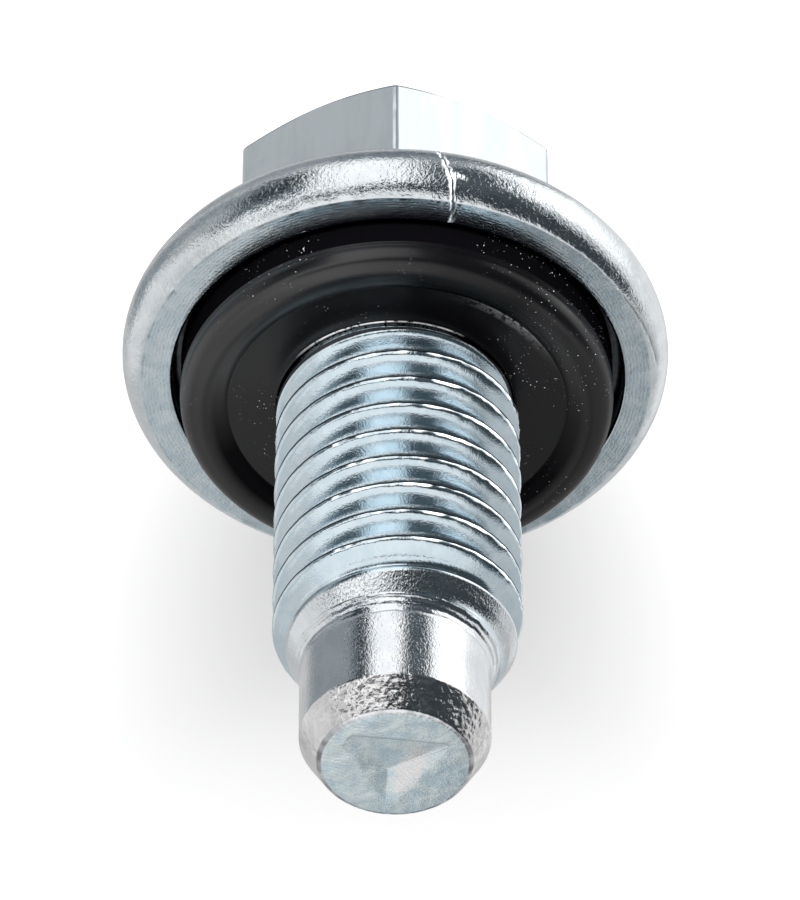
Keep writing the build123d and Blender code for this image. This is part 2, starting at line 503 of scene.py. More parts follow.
plug = {
    "columns": 352,
    "cornerSpan": 1.7,  # degrees each side of a hex corner with closer columns
    "cornerDensity": 3.0,
    "frontSpan": (185, 355),  # the side with the lap, the burrs and the crop mark
    "frontDensity": 0.45,
    "lapSpan": (254.6, 261.7),
    "lapDensity": 8.5,
    "acrossFlats": 15.0,
    "cornerRound": 0.4,
    "footRound": 0.6,
    "headFaceRadius": 7.45,
    "chamferSlope": np.tan(np.radians(30)),
    "hexHeight": 8.2,
    "backAngle": 10.0,
    "rimCentre": (11.3, 10.901),
    "rimRound": 2.0,
    "rimBack": (-80, -24),  # degrees round the rim's section, with few rows
    "rimFront": -19,  # from here to the wrap the rows are close
    "rimWrap": 55.6,
    "faceZ": 12.551,
    "recessRadius": 10.95,
    "recessDrift": 0.12,  # the recess sits this far to -X
    "mouthRound": 0.15,
    "recessFloorZ": 11.051,
    "neckRadius": 5.45,
    "collarRadius": 5.62,  # the thread starts on this collar, level with the gasket's web
    "collarBelow": (0.5, 0.3),  # the neck ends and the collar starts this far below the thread's start
    "entryZ": (14.29, 14.55, 15.5, 16.1),
    "entryRadius": (5.64, 5.80, 5.88, 5.96),
    "neckEndZ": 14.29,
    "shankDrift": 0.12,  # the thread leans this far to -X between the neck and the pilot
    "shankReach": 6.2,
    "leanZ": (14.3, 16.0, 30.0, 32.5),
}

# Where the lap, its branch and the fold line run: tube is the angle round the rim's section
lap = {
    "tube": (-50.0, -23.4, -2.3, 9.8, 22.4, 34.8, 52.5, 56.0),
    "tubeAngle": (261.2, 260.55, 259.62, 258.94, 258.16, 257.56, 257.27, 257.2),
    "faceRadius": (10.9, 11.34, 11.93, 12.43),
    "faceAngle": (255.9, 256.21, 256.62, 257.2),
    "branchTube": (9.0, 13.0, 19.7, 22.0),
    "branchAngle": (259.0, 258.3, 255.83, 255.0),
    "foldAngle": (184.0, 186.2, 206.7, 209.0),
    "foldTube": (44.0, 45.0, 55.0, 56.0),
    "mainReach": 13.2,  # radii at which the gap across the lap is measured
    "branchReach": 13.0,
    "faceReach": 11.8,
    "mainFade": ((-50, -30, 60), (0, 1, 1)),  # tube angles, and how much of the lap shows there
    "branchFade": ((9, 12, 18, 22), (0, 1, 1, 0)),
    "branchShare": 0.6,
    "branchLips": 0.7,
    "faceShare": 0.7,
    "faceMask": 0.8,
    "grooveDepth": 0.16,
    "grooveWidth": 0.034,
    "lipHeight": 0.05,
    "lipPlace": 0.10,
    "lipWidth": 0.045,
    "wander": 0.035,
    "foldDepth": 0.05,
    "foldWidth": 0.06,
    "foldLip": 0.02,
    "foldLipPlace": 0.13,
    "foldShadeLine": (0.6, 0.05),  # strength and width of its line of painted shade
    "foldBurr": 0.016,
    "foldBurrTube": 50,  # the burr grows from here to the wrap
}

thread = {
    "crestRadius": 5.93,
    "pitch": 1.75,
    "grooveZ": 14.183,  # of the groove's centre line at +X
    "leadAngle": 31,
    "crestEndZ": 29.282,
    "endZ": 31.1,
    "runOutSlope": 1.5,
    "margin": 0.25,  # rows up to this far past the ends are kept, and held at the ends
    # rows over one pitch from the groove's centre: offset, drop below the crest, and how much each
    # row wanders, is a seam with painted shade or is a burr with a painted highlight
    "offset": (-0.149, 0.0, 0.149, 0.45, 0.68, 0.76, 0.78, 0.84, 0.86, 0.89, 0.95, 1.00, 1.06, 1.20, 1.40),
    "drop": (1.05, 1.06, 1.05, 0.529, 0.13, 0.0, 0.06, 0.08, 0.0, 0.0, 0.03, 0.06, 0.112, 0.355, 0.7015),
    "wander": (0, 0, 0, 0, 0.001, 0.003, 0.003, 0.003, 0.004, 0.006, 0.008, 0.004, 0.002, 0.001, 0),
    "seam": (0, 0, 0, 0, 0, 0.8, 1, 1, 0.5, 0, 0, 0, 0, 0, 0),
    "burr": (0, 0, 0, 0, 0, 0, 0, 0, 0.6, 0.9, 0.3, 0, 0, 0, 0),
    "burrGlintAngle": (185, 205, 226, 245, 262, 290, 300),  # where the crests carry the burrs' painted highlight, and how strongly
    "burrGlintShare": (0.25, 0.6, 1.0, 0.7, 0.35, 0.2, 0),
    "burrGlintSpread": 0.35,
    "burrGlintLoss": 0.2,
    "roughAngle": 215,  # where the crests are roughest, to the lower right of the photograph
}
leadSlope = np.tan(np.radians(thread["leadAngle"]))

point = {
    "pilotRadius": 4.5,
    "pilotStartZ": 31.662,
    "pilotEndZ": 35.962,
    "pilotRootRound": 0.8,
    "endRadius": 3.6,
    "tipZ": 37.532,
    "edgeRound": 0.2,
    "edgeGap": 0.06,  # from the pilot's last row up to the bevel's edge
    "edgeBurr": 0.008,
    "edgeBurrAngle": 190,  # where the end's burr is strongest
    "edgeDarkAngle": (0, 225, 245, 310, 325, 360),
    "edgeDarkShare": (0.35, 0.35, 0.0, 0.0, 0.35, 0.35),
    "markDepth": 0.14,
    "markCentre": (0.35, 0.5),
    "markReach": (2.21, 1.10, 1.55),  # from the centre out to the sides that face these angles
    "markSides": (262.5, 26.6, 146.0),
    "markLimit": 0.80,  # of the face's radius, which the mark stays inside
    "markCreaseShade": 0.4,
}


def columnAngles():
    # angle = the inverse of the summed density, which is 1 with more where the detail is
    fine = np.linspace(0, 360, 36001)
    fromCorner = np.abs(fine % 60 - 30)
    density = 1 + plug["cornerDensity"] * (fromCorner < plug["cornerSpan"])
    for name in ("lap", "front"):
        low, high = plug[name + "Span"]
        density = density + plug[name + "Density"] * ((fine > low) & (fine < high))
    summed = np.concatenate(([0], np.cumsum(density[:-1])))
    shares = np.arange(plug["columns"]) / plug["columns"]
    return np.radians(np.interp(shares * summed[-1], summed, fine))


def hexRadius(angle):
    # flat: half the width across flats / cos(30 - psi); corner: an arc about a centre on the corner's line
    psi = np.radians(np.abs(np.degrees(angle) % 60 - 30))
    half, corner = plug["acrossFlats"] / 2, plug["cornerRound"]
    centre = (half - corner) / np.cos(np.pi / 6)
    onArc = centre * np.cos(psi) + np.sqrt(np.maximum(corner**2 - (centre * np.sin(psi)) ** 2, 0))
    tangent = np.arctan2(corner / 2, centre + corner * np.cos(np.pi / 6))
    return np.where(psi < tangent, onArc, half / np.cos(np.pi / 6 - psi))


def backHeight(radius):
    # the back of the flange is a cone that starts at the middle of the flats
    return plug["hexHeight"] + (radius - plug["acrossFlats"] / 2) * np.tan(np.radians(plug["backAngle"]))


def headParts(angle):
    # face, chamfer, flats and foot fillet of the hex, each row at its own height for each column
    flat = hexRadius(angle)
    even = np.ones_like(angle)
    tilt = np.radians(plug["backAngle"])
    face = (plug["headFaceRadius"] * even, 0 * even)
    edge = (flat, (flat - face[0]) * plug["chamferSlope"])
    centreR = flat + plug["footRound"]
    centreZ = backHeight(centreR) - plug["footRound"] / np.cos(tilt)
    rows = [
        straightRows((0 * even, 0 * even), face, (0, 0.35, 0.65, 0.88, 0.97, 1)),
        straightRows(face, edge, (0.04, 0.5, 0.96)),
        straightRows(edge, (flat, centreZ), (0.004, 0.02, 0.2, 0.4, 0.6, 0.8, 0.97)),
        arcRows((centreR, centreZ), -plug["footRound"], np.linspace(0, -80, 7)),
    ]
    return [(zones["hexZinc"], radius, height, 0.0) for radius, height in rows]


def lapShape(gap, along, seed):
    # groove and lips across a lap, in millimetres of height, from the gap across it and the place along it;
    # the groove's mask carries painted shade and the lips' mask painted highlights
    gap = gap + lap["wander"] * noiseAt(along, 40.0, 0.25, seed)
    left = 0.7 + 0.5 * noiseAt(along, 40.0, 0.3, seed + 1)
    right = 1.1 + 0.6 * noiseAt(along, 40.0, 0.3, seed + 2)
    groove = gaussian(gap, lap["grooveWidth"])
    lips = left * gaussian(gap + lap["lipPlace"], lap["lipWidth"])
    lips = lips + right * gaussian(gap - lap["lipPlace"], lap["lipWidth"])
    return lap["lipHeight"] * lips - lap["grooveDepth"] * groove, groove, np.clip(lips - 0.4, 0, 0.8)


def rimPart(angle):
    # the rolled rim: radius = centre + reach * cos(tube), with the lap, its branch and the fold line
    front = np.linspace(plug["rimFront"], plug["rimWrap"], 29)
    tube = np.concatenate((np.linspace(*plug["rimBack"], 7), front))[:, None]
    degrees = np.degrees(angle)
    along = np.radians(tube) * plug["rimRound"] + 10
    gap = np.radians(degrees - np.interp(tube, lap["tube"], lap["tubeAngle"])) * lap["mainReach"]
    main, groove, lips = lapShape(gap, along, 31)
    fade = np.interp(tube, *lap["mainFade"])
    # the lap's groove and the fold carry painted shade, and the lap's lips painted highlights
    height, seam, lipGlint = main * fade, groove * fade, lips * fade
    gap = np.radians(degrees - np.interp(tube, lap["branchTube"], lap["branchAngle"])) * lap["branchReach"]
    fade = lap["branchShare"] * np.interp(tube, *lap["branchFade"])
    branch, groove, lips = lapShape(gap, along, 41)
    height, seam = height + branch * fade, np.maximum(seam, groove * fade)
    lipGlint = np.maximum(lipGlint, lap["branchLips"] * lips * fade)
    low, high = lap["foldAngle"][0], lap["foldAngle"][-1]
    gap = np.radians(tube - np.interp(degrees, lap["foldAngle"], lap["foldTube"])) * plug["rimRound"]
    fade = np.interp(degrees, (low, low + 2, high - 2, high), (0, 1, 1, 0))
    height = height - lap["foldDepth"] * fade * gaussian(gap, lap["foldWidth"])
    height = height + lap["foldLip"] * fade * gaussian(gap - lap["foldLipPlace"], lap["foldWidth"])
    strength, width = lap["foldShadeLine"]
    seam = np.maximum(seam, strength * fade * gaussian(gap, width))
    foldR = lap["faceRadius"][-1]
    burr = noiseAt(angle * foldR, turn * foldR, 0.12, 51) * lap["foldBurr"]
    height = height + burr * np.interp(tube, (lap["foldBurrTube"], plug["rimWrap"]), (0, 1))
    radius, z = arcRows(plug["rimCentre"], plug["rimRound"] + height, tube.ravel())
    return [(zones["forgedZinc"], radius, z, seam, lipGlint * (1 - seam))], burr


def flangeParts(angle):
    # back, rim, face with the lap's inner end, recess, neck and the collar that the thread starts on
    even = np.ones_like(angle)
    tilt = np.radians(plug["backAngle"])
    footR = hexRadius(angle) + plug["footRound"] * (1 + np.sin(tilt))
    backR = (plug["rimCentre"][0] + plug["rimRound"] * np.sin(tilt)) * even
    foot, backEdge = (footR, backHeight(footR)), (backR, backHeight(backR))
    back = straightRows(foot, backEdge, (0.05, 0.35, 0.65, 0.95))
    rim, burr = rimPart(angle)

    foldR = plug["rimCentre"][0] + plug["rimRound"] * np.cos(np.radians(plug["rimWrap"]))
    drift = plug["recessDrift"] * np.cos(angle - np.pi)
    topZ = plug["faceZ"] * even
    mouth = (plug["recessRadius"] + plug["mouthRound"] + drift, topZ)
    shares = (0.025, 0.07, 0.15, 0.3, 0.5, 0.7, 0.9, 1)
    faceR, faceZ = straightRows((foldR * even, topZ), mouth, shares)
    lapAngle = np.interp(faceR, lap["faceRadius"], lap["faceAngle"])
    gap = np.radians(np.degrees(angle) - lapAngle) * lap["faceReach"]
    # on the face the lap's groove takes painted shade and its lips painted highlights
    crack, groove, lips = lapShape(gap, faceR + 20, 61)
    faceZ = faceZ + lap["faceShare"] * crack + burr * np.interp(shares, (0, 0.1), (1, 0))[:, None]

    centre = (mouth[0], topZ - plug["mouthRound"])
    mouthR, mouthZ = arcRows(centre, plug["mouthRound"], (100, 120, 140, 160, 180))
    wall = plug["recessRadius"] + drift
    floorZ = plug["recessFloorZ"] * even
    neck, collar = plug["neckRadius"] * even, plug["collarRadius"] * even
    collarZ = plug["neckEndZ"] * even
    neckBelow, collarBelow = plug["collarBelow"]
    wallRows = straightRows((wall, centre[1]), (wall, floorZ), (0.1, 0.5, 0.9, 1))
    floorRows = straightRows((wall, floorZ), (neck, floorZ), (0.05, 0.5, 0.97, 1))
    hidden = straightRows((neck, floorZ), (neck, collarZ - neckBelow), (0.05, 0.5, 1))
    shown = straightRows((collar, collarZ - collarBelow), (collar, collarZ), (0, 0.9))
    return [
        (zones["forgedZinc"], *back, 0.0),
        *rim,
        (zones["facedZinc"], faceR, faceZ, lap["faceMask"] * groove, lap["faceMask"] * lips),
        (zones["facedZinc"], mouthR, mouthZ, 0.0),
        (zones["recessShadeZinc"], *wallRows, 0.0),
        (zones["recessShadeZinc"], *floorRows, 0.0),
        (zones["recessShadeZinc"], *hidden, 0.0),
        (zones["threadZinc"], *shown, 0.0),
    ]


def threadPart(angle):
    # height = row's start + pitch * a / turn, held between the neck and the lead-in;
    # radius = least of thread form, entry cone and lead-in cone, and at least the run-out cone
    turns = np.arange(-2, 13)[:, None]
    keys = ("drop", "wander", "seam", "burr")
    table = {key: np.asarray(thread[key], dtype=float) for key in ("offset", *keys)}
    starts = (thread["grooveZ"] + thread["pitch"] * turns + table["offset"]).ravel()
    firstZ, lastZ = plug["neckEndZ"] - thread["pitch"] - thread["margin"], thread["endZ"] + thread["margin"]
    keep = (starts > firstZ) & (starts < lastZ)
    drop, wander, seam, burr = (np.tile(table[key], turns.size)[keep, None] for key in keys)
    wound = np.repeat(turns.ravel(), len(thread["offset"]))[keep, None] + angle / turn
    starts = starts[keep, None]
    place = wound * turn * thread["crestRadius"]
    span = turns.size * turn * thread["crestRadius"]
    rough = 0.5 + 0.9 * (0.5 + 0.5 * np.cos(angle - np.radians(thread["roughAngle"]))) ** 2
    lift = noiseAt(place, span, 0.2, 71) * wander * rough
    shift = noiseAt(place, span, 0.4, 72) * wander * 2
    # the burrs' painted highlight, by angle round the thread
    share = np.interp(np.degrees(angle), thread["burrGlintAngle"], thread["burrGlintShare"], left=0, right=0)
    speckle = thread["burrGlintSpread"] * noiseAt(place, span, 0.4, 73) - thread["burrGlintLoss"]
    burr = np.clip(burr * share + speckle * (burr * share > 0), 0, 1)
    free = starts + thread["pitch"] * angle / turn
    height = np.clip(free, plug["neckEndZ"], thread["endZ"])
    form = thread["crestRadius"] - drop * np.where(seam > 0, 0.4 + 0.5 * rough, 1) + lift
    entry = np.interp(height, plug["entryZ"], plug["entryRadius"])
    lead = thread["crestRadius"] - (height - thread["crestEndZ"]) * leadSlope
    runOut = plug["collarRadius"] - (height - plug["neckEndZ"]) * thread["runOutSlope"]
    radius = np.maximum(np.minimum(np.minimum(form, entry), lead), runOut)
    radius = np.where(free <= plug["neckEndZ"], plug["collarRadius"], radius)
    radius = np.where(free >= thread["endZ"], lead, radius)
    # the seams' painted shade, the burrs' painted highlight and the wander show only where the thread form
    # is outermost, within a hundredth
    onCrest = (form < entry + 0.01) & (form < lead + 0.01)
    inside = (free > plug["neckEndZ"]) & (free < thread["endZ"])
    height = height + np.where(inside & onCrest, shift, 0)
    zone = np.where(radius > lead - 0.004, zones["leadZinc"], zones["threadZinc"])
    shown = onCrest * inside
    return (zone, radius, height, seam * shown, burr * shown)


def pointParts(angle):
    # lead-in cone, root fillet, pilot, bevel and the rounded edge of the end face
    even = np.ones_like(angle)
    degrees = np.degrees(angle)
    r0, z0 = point["pilotRadius"], point["pilotStartZ"]
    endR, reach = point["endRadius"], point["edgeRound"]
    lead = np.radians(thread["leadAngle"])
    tangent = point["pilotRootRound"] * np.tan(lead / 2)
    coneEnd = ((r0 + tangent * np.sin(lead)) * even, (z0 - tangent * np.cos(lead)) * even)
    coneR = thread["crestRadius"] - (thread["endZ"] - thread["crestEndZ"]) * leadSlope
    cone = straightRows((coneR * even, thread["endZ"] * even), coneEnd, (0, 0.5, 0.96))
    rootCentre = ((r0 + point["pilotRootRound"]) * even, (z0 + tangent) * even)
    root = arcRows(rootCentre, -point["pilotRootRound"], np.linspace(thread["leadAngle"], 0, 6))
    pilotEnd = (r0 * even, (point["pilotEndZ"] - point["edgeGap"]) * even)
    pilot = straightRows((r0 * even, rootCentre[1]), pilotEnd, (0.05, 0.3, 0.5, 0.7, 0.9, 1))
    taper = np.arctan2(r0 - endR, point["tipZ"] - point["pilotEndZ"])
    edgeZ = point["pilotEndZ"] - reach * np.tan(taper / 2)
    edge = arcRows(((r0 - reach) * even, edgeZ * even), reach, np.degrees(np.linspace(0, taper, 4)))
    lastR = endR - reach * np.tan((np.pi / 2 - taper) / 2)
    burr = noiseAt(angle * endR, turn * endR, 0.12, 81) * point["edgeBurr"]
    burr = burr * (0.5 + 0.8 * (0.5 + 0.5 * np.cos(angle - np.radians(point["edgeBurrAngle"]))))
    lastCentre = (lastR * even, (point["tipZ"] - reach) * even)
    lastEdge = arcRows(lastCentre, reach + np.minimum(burr, 0), np.linspace(np.degrees(taper), 90, 6))
    # the end's rounded edge takes the dark mark tone all round except on its -Y side
    edgeDark = np.interp(degrees, point["edgeDarkAngle"], point["edgeDarkShare"])
    edgeDark = np.clip(edgeDark + 0.2 * noiseAt(angle * endR, turn * endR, 0.35, 82), 0, 0.7)
    bevelStart, bevelEnd = (edge[0][-1], edge[1][-1]), (lastEdge[0][0], lastEdge[1][0])
    bevel = straightRows(bevelStart, bevelEnd, (0.05, 0.35, 0.65, 0.95))
    return [
        (zones["rootZinc"], *cone, 0.0),
        (zones["rootZinc"], *root, 0.0),
        (zones["pilotZinc"], *pilot, 0.0),
        (zones["bevelZinc"], *edge, 0.0),
        (zones["bevelZinc"], *bevel, 0.0),
        (zones["pilotZinc"], *lastEdge, edgeDark),
    ], lastR


def markGrid(angle, rimR):
    # rows run from the round face in to the crop mark's three sides, and then shrink to its centre
    unit = np.stack((np.cos(angle), np.sin(angle)))
    centre = np.array(point["markCentre"])[:, None]
    sides = np.radians(point["markSides"])[:, None]
    distance = np.array(point["markReach"])[:, None] / np.maximum(np.cos(angle - sides), 0.02)
    outline = centre + unit * np.min(distance, axis=0)
    outline = outline * np.minimum(1, point["markLimit"] * rimR / np.hypot(*outline))
    outer = rimR * unit
    inward = np.array((0.03, 0.3, 0.65, 0.92))[:, None, None]
    ring = outer + inward * (outline - outer)
    shrink = np.array((1.0, 0.97, 0.85, 0.7, 0.5, 0.3, 0.15, 0.06, 0.0))[:, None, None]
    facet = centre + shrink * (outline - centre)
    xy = np.concatenate((ring, facet))
    onFirst = np.argmin(distance, axis=0) == 0
    depth = point["markDepth"] * (1 - shrink[:, 0]) ** np.where(onFirst, 1.0, 1.3)
    height = point["tipZ"] - np.vstack((np.zeros((len(inward), angle.size)), depth))
    # painted shade darkens the crease along the mark's first side, which is near the camera
    creaseShade = np.zeros_like(height)
    creaseShade[len(inward)] = point["markCreaseShade"] * onFirst
    return {
        "zone": np.full(height.shape, zones["endZinc"]),
        "radius": np.hypot(xy[:, 0], xy[:, 1]),
        "height": height,
        "seam": creaseShade,
        "burr": np.zeros_like(height),
        "angle": np.arctan2(xy[:, 1], xy[:, 0]),
    }


angle = columnAngles()
before = gridFrom(headParts(angle) + flangeParts(angle), angle)
wound = gridFrom([threadPart(angle)], angle)
pointRows, rimR = pointParts(angle)
after = gridFrom(pointRows, angle)
mark = markGrid(angle, rimR)
plugGrid = {}
for key in before:
    plugGrid[key] = np.concatenate([grid[key] for grid in (before, wound, after, mark)])
lean = np.interp(plugGrid["height"], plug["leanZ"], (0, 1, 1, 0))
onShank = plugGrid["radius"] < plug["shankReach"]
drift = plug["shankDrift"] * lean * onShank * np.cos(plugGrid["angle"] - np.pi)
plugGrid["radius"] = plugGrid["radius"] + drift
rowNumber = np.arange(len(plugGrid["radius"]))
# a thread row ends one turn up, at the start of the row that stands one pitch higher
firstThread = len(before["radius"])
lastThread = firstThread + len(wound["radius"]) - 1
inThread = (rowNumber >= firstThread) & (rowNumber <= lastThread)
partner = np.where(inThread, np.minimum(rowNumber + len(thread["offset"]), lastThread), rowNumber)
print("rows", len(rowNumber), "of which thread", len(wound["radius"]))
plugMesh = revolvedMesh("drain_plug", plugGrid, partner)
finishedPiece("drain_plug", plugMesh, platings, "plug_body")


# The gasket

seal = {
    "columns": 288,
    "outerRadius": 10.5,
    "boreRadius": 5.65,
    "floorZ": 11.051,
    "footChamfer": 0.25,
    "boreChamfer": 0.15,
    "webZ": 14.301,
    "webEdge": 8.19,
    "crown": (9.5, 14.871),
    "crownRound": 1.0,
    "drift": 0.07,
    "partingZ": (13.55, 13.72),  # two mould lines on the wall
    "partingHeight": 0.018,
    "partingWidth": 0.03,
    "wallZ": (11.35, 12.2, 13.1, 13.48, 13.52, 13.55, 13.58, 13.635, 13.69, 13.72, 13.75, 13.82),
    "webShare": (0.01, 0.04, 0.2, 0.45, 0.7, 0.945, 0.965, 1),  # from the bead's foot in to the bore
    "boreGlintShare": (0, 0, 0, 0, 0, 0, 0.9, 1),
    "boreGlintAngle": (235, 245, 268, 275, 305, 325),
    "boreGlint": (0, 0.45, 0.45, 0.9, 0.8, 0),
    "beadDustShare": (0.9, 0.3, 0, 0, 0, 0, 0, 0),
    "beadDustPlace": (228, 14),  # the middle of its arc and how far it spreads, in degrees
    "beadDust": 0.5,
    # painted shade: how much of the rubber's sheen is taken away by angle, and the arc on the far side
    # where the bead's inner fall loses the most
    "shadeAngle": (0, 90, 170, 195, 220, 232, 255, 270, 285, 340, 360),
    "shadeShare": (0.22, 0.45, 0.5, 0.42, 0.2, 0.65, 0.6, 0.3, 0, 0, 0.22),
    "farAngle": (0, 20, 150, 180, 195, 340, 360),
    "farShare": (0.5, 1, 1, 0.4, 0, 0, 0.5),
    "farShade": 0.95,
    "shadeBelow": (13.48, 13.55),  # the wall's sheen is fully taken away as painted shade below the first height
    "wallShade": 0.2,
    "webShade": (0.3, 0.5),
    "boreShade": 0.9,
}


def gasketParts(angle):
    # bottom, wall, crown, inner fall, web and bore, each with its dust, painted highlight and painted shade
    even = np.ones_like(angle)
    degrees = np.degrees(angle)
    drift = seal["drift"] * np.cos(angle - np.pi)
    outer = seal["outerRadius"] + drift
    bore, foot, lip = seal["boreRadius"] * even, seal["footChamfer"], seal["boreChamfer"]
    floorZ, webZ = seal["floorZ"] * even, seal["webZ"] * even
    crownR, crownZ = seal["crown"][0] + drift, seal["crown"][1] * even
    webEdge = seal["webEdge"] + drift
    bottom = straightRows((bore, floorZ), (outer - foot, floorZ), (0, 0.02, 0.5, 0.98, 1))
    chamfer = straightRows((outer - foot, floorZ), (outer, floorZ + foot), (0.05, 0.95))
    wallZ = np.array(seal["wallZ"])
    ridge = sum(gaussian(wallZ - z, seal["partingWidth"]) for z in seal["partingZ"])
    wallR = outer + seal["partingHeight"] * ridge[:, None]
    crown = arcRows((crownR, crownZ - seal["crownRound"]), seal["crownRound"], np.linspace(0, 90, 18))
    # inner fall: an arc that is level at the crown and steep where it meets the web
    width = seal["crown"][0] - seal["webEdge"]
    rise = seal["crown"][1] - seal["webZ"]
    reach = (width**2 + rise**2) / (2 * rise)
    sweep = np.degrees(np.arcsin(width / reach))
    fall = arcRows((crownR, crownZ - reach), reach, np.linspace(90 + sweep / 12, 90 + sweep, 13))
    web = straightRows((webEdge, webZ), (bore + lip, webZ), seal["webShare"])
    edge = straightRows((bore + lip, webZ), (bore, webZ - lip), (0.1, 0.9))
    hole = straightRows((bore, webZ - lip), (bore, floorZ), (0.05, 0.5, 0.97, 1))
    # a painted highlight, laid in the dust's colour, runs along the edge of the bore, and dust lies on one
    # side along the foot of the bead
    boreGlint = np.interp(degrees, seal["boreGlintAngle"], seal["boreGlint"])
    middle, spread = seal["beadDustPlace"]
    beadDust = seal["beadDust"] * gaussian(degrees - middle, spread)
    webDustAndGlint = beadDust * np.array(seal["beadDustShare"])[:, None]
    webDustAndGlint = webDustAndGlint + boreGlint * np.array(seal["boreGlintShare"])[:, None]
    # painted shade: the rubber's sheen is taken away by angle, on the wall and down the far inner fall
    side = np.interp(degrees, seal["shadeAngle"], seal["shadeShare"])
    low = np.interp(wallZ, seal["shadeBelow"], (1, 0))[:, None]
    wallShade = side + seal["wallShade"] + (1 - seal["wallShade"] - side) * low
    crownShade = side + seal["wallShade"] * np.interp(np.arange(len(crown[0])), (0, 3), (1, 0))[:, None]
    far = np.interp(degrees, seal["farAngle"], seal["farShare"])
    inward = np.interp(np.arange(len(fall[0])), (1, 5), (0, 1))[:, None]
    fallShade = side + (seal["farShade"] - side) * far * inward
    webShade = seal["webShade"][0] + seal["webShade"][1] * side
    return [
        (0, *bottom, 0.0, 1.0),
        (0, *chamfer, 0.0, 1.0),
        (0, wallR, wallZ[:, None], 0.0, wallShade),
        (0, *crown, 0.0, crownShade),
        (0, *fall, 0.0, fallShade),
        (0, *web, webDustAndGlint, webShade),
        (0, *edge, boreGlint, seal["boreShade"]),
        (0, *hole, 0.0, seal["boreShade"]),
    ]


sealAngle = np.arange(seal["columns"]) / seal["columns"] * turn
sealMesh = revolvedMesh("seal_gasket", gridFrom(gasketParts(sealAngle), sealAngle))
finishedPiece("seal_gasket", sealMesh, (rubber,), "gasket")


# Studio

studio = {
    "cameraTilt": 44.21,
    "cameraDistance": 400.0,
    "aim": (-0.23, 0.0, 17.19),
    "lens": 331.96,
    "sensor": 36.0,
    "floorSize": 3000.0,
    "floorZ": -0.02,
    "floorTone": 0.95,
    "domeRadius": 120.0,
    "domeHeight": 18.0,
    "domeGrid": (121, 240),  # rows from pole to pole, and columns
    "darkTint": (0.76, 0.93, 1.03),  # the unlit parts of the set throw back a bluish light
    "tintEdge": (0.05, 0.6),
    "worldGlow": 0.38,
    "keyPlace": (0, -330, 125),
    "keySize": (460, 110),
    "keyPower": 6.5,
}


def buildFloor():
    half, z = studio["floorSize"] / 2, studio["floorZ"]
    corners = np.array([(-half, -half, z), (half, -half, z), (half, half, z), (-half, half, z)])
    mesh = bpy.data.meshes.new("floor")
    mesh.from_pydata(corners * millimetre, [], [(0, 1, 2, 3)])
    floor = bpy.data.objects.new("floor", mesh)
    scene.collection.objects.link(floor)
    material, _, shader = startMaterial("paleFloor")
    tone = studio["floorTone"]
    shader.inputs["Base Color"].default_value = (tone, tone, tone, 1.0)
    shader.inputs["Roughness"].default_value = 0.9
    shader.inputs["Specular IOR Level"].default_value = 0.0
    mesh.materials.append(material)
    floor.visible_glossy = False


def buildCamera():
    # the photo was taken from the tip's side with the plug hanging, so the camera is rolled half a turn
    tilt = np.radians(studio["cameraTilt"])
    back = Vector((0, -np.cos(tilt), np.sin(tilt)))
    up = Vector((0, -np.sin(tilt), -np.cos(tilt)))
    right = up.cross(back)
    data = bpy.data.cameras.new("camera")
    data.sensor_fit = "VERTICAL"
    data.sensor_height = studio["sensor"]
    data.sensor_width = studio["sensor"]
    data.lens = studio["lens"]
    data.clip_start, data.clip_end = 0.01, 10.0
    camera = bpy.data.objects.new("camera", data)
    scene.collection.objects.link(camera)
    place = (Vector(studio["aim"]) + studio["cameraDistance"] * back) * millimetre
    facing = Matrix((right, up, back)).transposed().to_4x4()
    camera.matrix_world = Matrix.Translation(place) @ facing
    scene.camera = camera


def softBand(value, low, high, edge):
    # 1 between low and high, falling to 0 over edge on each side along a smooth step
    rise = np.clip((value - low) / edge + 0.5, 0, 1)
    fall = np.clip((high - value) / edge + 0.5, 0, 1)
    return rise**2 * (3 - 2 * rise) * fall**2 * (3 - 2 * fall)


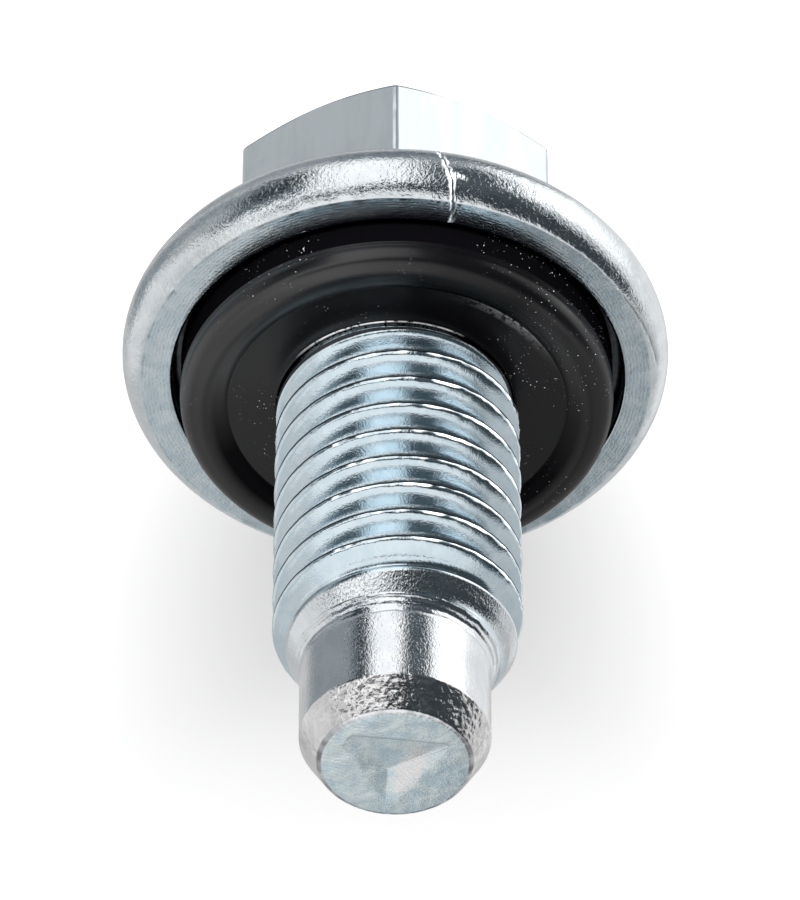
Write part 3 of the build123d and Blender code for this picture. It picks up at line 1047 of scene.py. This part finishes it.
# Each panel: azimuth from and to (0 faces the camera, 90 is +X), elevation from and to, glow, soft edge.
# They are laid over each other in this order, as cards and flags are on a set.
panels = {
    "base": (-181, 181, -91, 91, 0.57, 1),
    "overhead": (-181, 181, 50, 91, 0.90, 6),
    "overheadLeft": (95, 170, 46, 68, 0.62, 8),
    "overheadRight": (-170, -95, 46, 68, 0.62, 8),
    "backLeft": (115, 181, 30, 48, 0.35, 5),
    "backLeftFar": (115, 173.5, 30, 50, 0.66, 4),
    "backRight": (-177, -125, 30, 56, 0.05, 4),
    "backRightFar": (-173, -125, 30, 50, 0.55, 4),
    "backSideLeft": (120, 181, -20, 26, 0.55, 8),
    "backSideRight": (-181, -122, -20, 26, 0.55, 8),
    "overheadFront": (-35, 80, 43, 91, 0.95, 6),
    "highLeft": (8, 105, 15, 44, 0.95, 8),
    "highFarLeft": (68, 125, 17, 38, 0.62, 8),
    "lowDark": (-105, 60, -91, -60, 0.20, 8),
    "leftMid": (40, 130, -31, 15, 0.78, 6),
    "leftLowDark": (40, 125, -46, -19, 0.31, 5),
    "hexLeft": (40, 110, -54, -46, 0.55, 4),
    "leftBelow": (40, 125, -91, -54, 0.35, 6),
    "cameraSide": (-106, -24, -4, 46, 0.06, 8),
    "rightRise": (-115, -56, -20, 7, 0.80, 6),
    "frontBand": (-10, 52, 26, 37, 0.05, 5),
    "rightFlag": (-44, -9, -43, 21, 0.10, 4),
    "leftFlag": (29, 50, -43, -22, 0.07, 4),
    "leftFlagSoft": (45, 90, -26, -3, 0.45, 9),
    "leftFlagTop": (27, 58, -26, -3, 0.05, 6),
    "leftFlagMid": (27, 68, -5, 17, 0.17, 6),
    "frontLowDark": (-30, 30, -66, -47, 0.30, 6),
    "rightPanel": (-100, -43, -62, -8, 1.35, 5),
    "rightSide": (-150, -92, -62, -8, 0.85, 8),
    "frontCard": (-8, 29, -50, 21, 1.15, 4),
    "frontHigh": (6, 60, 14, 24, 1.12, 3),
    "frontDark": (-28, 8, 20, 37, 0.05, 3),
}


def buildDome():
    # direction = (cos e sin a, -cos e cos a, sin e); the glow is stored at each point of the dome
    rows, columns = studio["domeGrid"]
    azimuth = np.linspace(-180, 180, columns + 1)[:-1]
    elevation = np.linspace(-90, 90, rows)[:, None]
    glow = np.zeros((rows, columns))
    for fromA, toA, fromE, toE, strength, edge in panels.values():
        cover = softBand(azimuth, fromA, toA, edge) * softBand(elevation, fromE, toE, edge)
        glow = glow + cover * (strength - glow)
    a, e = np.radians(azimuth), np.radians(elevation)
    x, y, z = np.cos(e) * np.sin(a), -np.cos(e) * np.cos(a), np.sin(e) + 0 * a
    points = np.stack((x, y, z), axis=-1) * studio["domeRadius"] + np.array((0, 0, studio["domeHeight"]))
    index = np.arange(glow.size).reshape(glow.shape)
    index = np.column_stack((index, index[:, 0]))
    quads = np.stack((index[:-1, :-1], index[1:, :-1], index[1:, 1:], index[:-1, 1:]), axis=-1)
    mesh = bpy.data.meshes.new("lightDome")
    mesh.from_pydata(points.reshape(-1, 3) * millimetre, [], quads.reshape(-1, 4))
    mesh.attributes.new("glow", "FLOAT", "POINT").data.foreach_set("value", glow.ravel())
    dome = bpy.data.objects.new("lightDome", mesh)
    scene.collection.objects.link(dome)
    material = bpy.data.materials.new("lightDome")
    material.use_nodes = True
    tree = material.node_tree
    tree.nodes.remove(tree.nodes["Principled BSDF"])
    read = tree.nodes.new("ShaderNodeAttribute")
    read.attribute_name = "glow"
    shine = tree.nodes.new("ShaderNodeEmission")
    lit = smoothStep(tree, read.outputs["Fac"], *studio["tintEdge"])
    tree.links.new(mixNode(tree, lit, studio["darkTint"], (1.0, 1.0, 1.0)), shine.inputs["Color"])
    tree.links.new(read.outputs["Fac"], shine.inputs["Strength"])
    tree.links.new(shine.outputs[0], tree.nodes["Material Output"].inputs["Surface"])
    material.cycles.emission_sampling = "NONE"
    mesh.materials.append(material)
    dome.visible_camera = False
    dome.visible_diffuse = False
    dome.visible_shadow = False


def buildWorld():
    world = bpy.data.worlds.new("studio")
    scene.world = world
    world.use_nodes = True
    background = world.node_tree.nodes["Background"]
    background.inputs["Color"].default_value = (1.0, 1.0, 1.0, 1.0)
    background.inputs["Strength"].default_value = studio["worldGlow"]


def buildKey():
    # lights the floor only, so that the plug's shadow falls softly behind it
    data = bpy.data.lights.new("key", "AREA")
    data.shape = "RECTANGLE"
    data.size, data.size_y = (value * millimetre for value in studio["keySize"])
    data.energy = studio["keyPower"]
    key = bpy.data.objects.new("key", data)
    scene.collection.objects.link(key)
    key.location = Vector(studio["keyPlace"]) * millimetre
    key.rotation_euler = (-key.location).to_track_quat("-Z", "Y").to_euler()
    key.visible_camera = False
    key.visible_glossy = False


buildFloor()
buildCamera()
buildWorld()
buildDome()
buildKey()
scene.view_settings.view_transform = "Standard"
print("studio ready")
